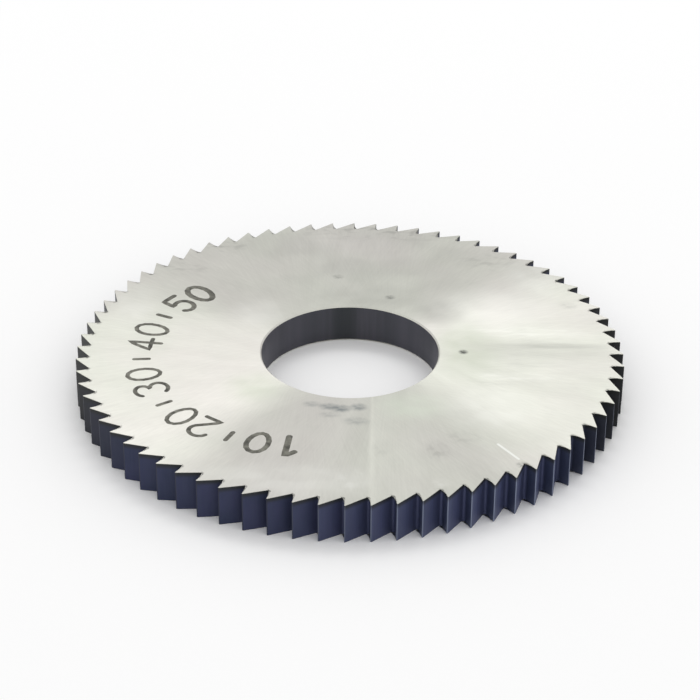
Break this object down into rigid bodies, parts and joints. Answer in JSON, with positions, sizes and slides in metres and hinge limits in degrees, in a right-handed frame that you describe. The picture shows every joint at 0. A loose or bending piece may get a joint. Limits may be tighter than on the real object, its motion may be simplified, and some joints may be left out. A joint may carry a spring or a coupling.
{
  "type": "circular saw blade",
  "caption": "Flat round metal-slitting saw blade with fine pointed teeth round the rim, a plain central arbor bore and hollow-ground sides.",
  "frame": {"origin": "centre of the bore, in the plane that the lower edges of the teeth rest on", "axes": "+Z along the bore axis, out of the side that faces up; the cutting edges point clockwise seen from +Z"},
  "size_m": [0.04, 0.04, 0.003],
  "materials": {
    "ground_steel": "ground high-speed steel, dark heat-treated tooth gaps"
  },
  "bodies": {
    "root": {"saw_blade": "ground_steel"}
  },
  "joints": []
}
